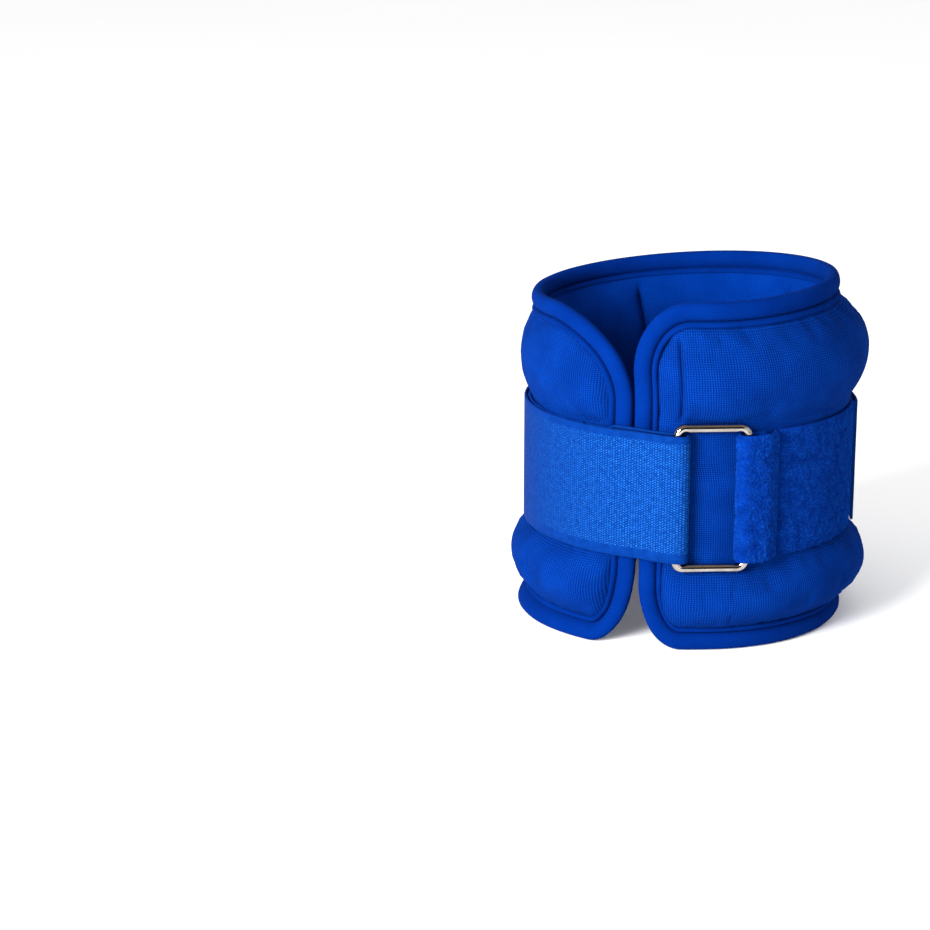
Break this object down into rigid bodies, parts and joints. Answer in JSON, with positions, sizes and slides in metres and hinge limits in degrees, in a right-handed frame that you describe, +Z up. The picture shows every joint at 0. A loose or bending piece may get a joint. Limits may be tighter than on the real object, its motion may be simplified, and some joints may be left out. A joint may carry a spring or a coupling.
{
  "type": "ankle cuff weight",
  "caption": "Padded knit-faced neoprene ankle cuff filled with iron sand, closed by a wide hook strap through a steel rectangle ring.",
  "frame": {"origin": "centre of the cuff's lower rim plane, on the cuff's axis", "axes": "+Z up along the ankle, the front opening faces -Y, +X is to the right as seen from the front"},
  "size_m": [0.139, 0.1376, 0.134],
  "materials": {
    "cover_knit": "royal-blue knitted nylon face over neoprene foam, fine upright wales, dull sheen",
    "lining_knit": "royal-blue knitted nylon lining over neoprene foam",
    "binding_knit": "folded royal-blue knit binding with a stitched groove",
    "dark_thread": "dark blue bonded polyester thread",
    "bag_nylon": "grey coated nylon, sealed edges",
    "iron_sand": "dull grey-black iron sand",
    "loop_pile": "royal-blue loop tape with a short curly pile",
    "hook_tape": "light-blue woven back of hook tape with plain selvages",
    "ring_steel": "bright nickel-plated steel wire"
  },
  "bodies": {
    "cuff": {"cover_upper": "cover_knit", "cover_middle": "cover_knit", "cover_lower": "cover_knit", "inner_lining": "lining_knit", "edge_binding": "binding_knit", "binding_thread": "dark_thread", "weight_pouch_1": "bag_nylon", "weight_pouch_2": "bag_nylon", "weight_pouch_3": "bag_nylon", "weight_pouch_4": "bag_nylon", "weight_pouch_5": "bag_nylon", "iron_sand_1": "iron_sand", "iron_sand_2": "iron_sand", "iron_sand_3": "iron_sand", "iron_sand_4": "iron_sand", "iron_sand_5": "iron_sand", "loop_tape": "loop_pile", "tab_stitching": "dark_thread", "strap_root": "hook_tape", "anchor_stitching": "dark_thread"},
    "ring": {"rectangle_ring": "ring_steel"},
    "strap_front": {"strap_front": "hook_tape"},
    "wrap_1": {"strap_wrap_1": "hook_tape"},
    "wrap_2": {"strap_wrap_2": "hook_tape"},
    "wrap_3": {"strap_wrap_3": "hook_tape"},
    "wrap_4": {"strap_wrap_4": "hook_tape"},
    "wrap_5": {"strap_wrap_5": "hook_tape"},
    "tail": {"strap_tail": "hook_tape"}
  },
  "joints": [
    {"name": "ring_swing", "type": "hinge", "parent": "cuff", "child": "ring", "pos_m": [0.04051, -0.05299, 0.062], "axis": [0, 0, 1], "range_deg": [0, 5]},
    {"name": "strap_lift", "type": "hinge", "parent": "cuff", "child": "strap_front", "pos_m": [-0.0115, -0.06519, 0.062], "axis": [0, 0, -1], "range_deg": [0, 4.5]},
    {"name": "strap_peel", "type": "hinge", "parent": "cuff", "child": "wrap_1", "pos_m": [-0.0115, -0.06519, 0.062], "axis": [0, 0, 1], "range_deg": [0, 75]},
    {"name": "unroll_2", "type": "hinge", "parent": "wrap_1", "child": "wrap_2", "pos_m": [-0.05287, -0.03984, 0.062], "axis": [0, 0, 1], "range_deg": [0, 43]},
    {"name": "unroll_3", "type": "hinge", "parent": "wrap_2", "child": "wrap_3", "pos_m": [-0.06584, 0.00692, 0.062], "axis": [0, 0, 1], "range_deg": [0, 43]},
    {"name": "unroll_4", "type": "hinge", "parent": "wrap_3", "child": "wrap_4", "pos_m": [-0.04343, 0.04996, 0.062], "axis": [0, 0, 1], "range_deg": [0, 43]},
    {"name": "unroll_5", "type": "hinge", "parent": "wrap_4", "child": "wrap_5", "pos_m": [0.00231, 0.06616, 0.062], "axis": [0, 0, 1], "range_deg": [0, 43]},
    {"name": "tail_lift", "type": "hinge", "parent": "wrap_5", "child": "tail", "pos_m": [0.04681, 0.04681, 0.062], "axis": [0, 0, 1], "range_deg": [0, 35]}
  ],
  "couplings": [
    {"joint": "strap_lift", "follows": "ring_swing", "ratio": 0.895},
    {"joint": "unroll_2", "follows": "strap_peel", "ratio": 0.57333},
    {"joint": "unroll_3", "follows": "strap_peel", "ratio": 0.57333},
    {"joint": "unroll_4", "follows": "strap_peel", "ratio": 0.57333},
    {"joint": "unroll_5", "follows": "strap_peel", "ratio": 0.57333}
  ]
}
